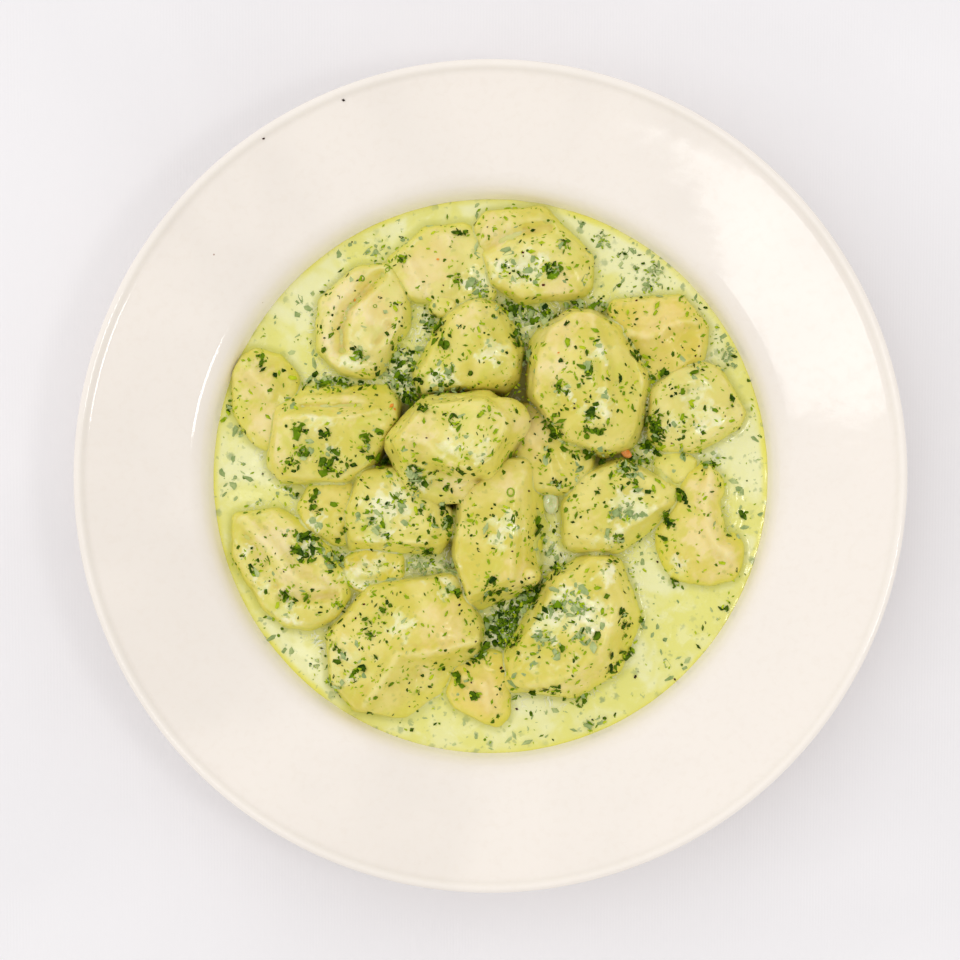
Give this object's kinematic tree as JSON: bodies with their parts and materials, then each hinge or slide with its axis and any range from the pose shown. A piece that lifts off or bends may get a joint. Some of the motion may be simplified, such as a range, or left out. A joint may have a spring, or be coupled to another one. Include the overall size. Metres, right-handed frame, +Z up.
{
  "type": "plate of potato gnocchi",
  "caption": "Potato gnocchi in a pale green herb cream sauce, served in a deep cream-glazed ceramic plate with a wide flat rim.",
  "frame": {"origin": "middle of the plane that the plate's foot ring rests on", "axes": "+Z up out of the well, +X to the right and +Y to the far side as the plate is served"},
  "size_m": [0.24, 0.24, 0.0465],
  "materials": {
    "cream_glaze": "gloss",
    "gnocchi_dough": "satin",
    "herb_cream_sauce": "gloss",
    "chopped_herbs": "satin",
    "ground_pepper": "matte",
    "vegetable_bits": "satin"
  },
  "bodies": {
    "root": {"cream_sauce": "herb_cream_sauce", "deep_plate": "cream_glaze", "gnocco_01_top_middle": "gnocchi_dough", "gnocco_02_large_right": "gnocchi_dough", "gnocco_03_front_block": "gnocchi_dough", "gnocco_04_back_middle": "gnocchi_dough", "gnocco_05_left_block": "gnocchi_dough", "gnocco_06_large_front_right": "gnocchi_dough", "gnocco_07_large_front_left": "gnocchi_dough", "gnocco_08_middle_wedge": "gnocchi_dough", "gnocco_09_far_lobed": "gnocchi_dough", "gnocco_10_right_of_middle": "gnocchi_dough", "gnocco_11_right_pointed": "gnocchi_dough", "gnocco_12_far_right_block": "gnocchi_dough", "gnocco_13_left_bean": "gnocchi_dough", "gnocco_14_right_bent": "gnocchi_dough", "gnocco_15_front_left_long": "gnocchi_dough", "gnocco_16_far_left_leaning": "gnocchi_dough", "gnocco_17_small_left": "gnocchi_dough", "gnocco_18_far_half_sunk": "gnocchi_dough", "gnocco_19_under_the_heap": "gnocchi_dough", "gnocco_20_front_half_sunk": "gnocchi_dough", "gnocco_21_sunk_front_left": "gnocchi_dough", "gnocco_22_sunk_back": "gnocchi_dough", "gnocco_23_sunk_right": "gnocchi_dough"}
  },
  "joints": []
}
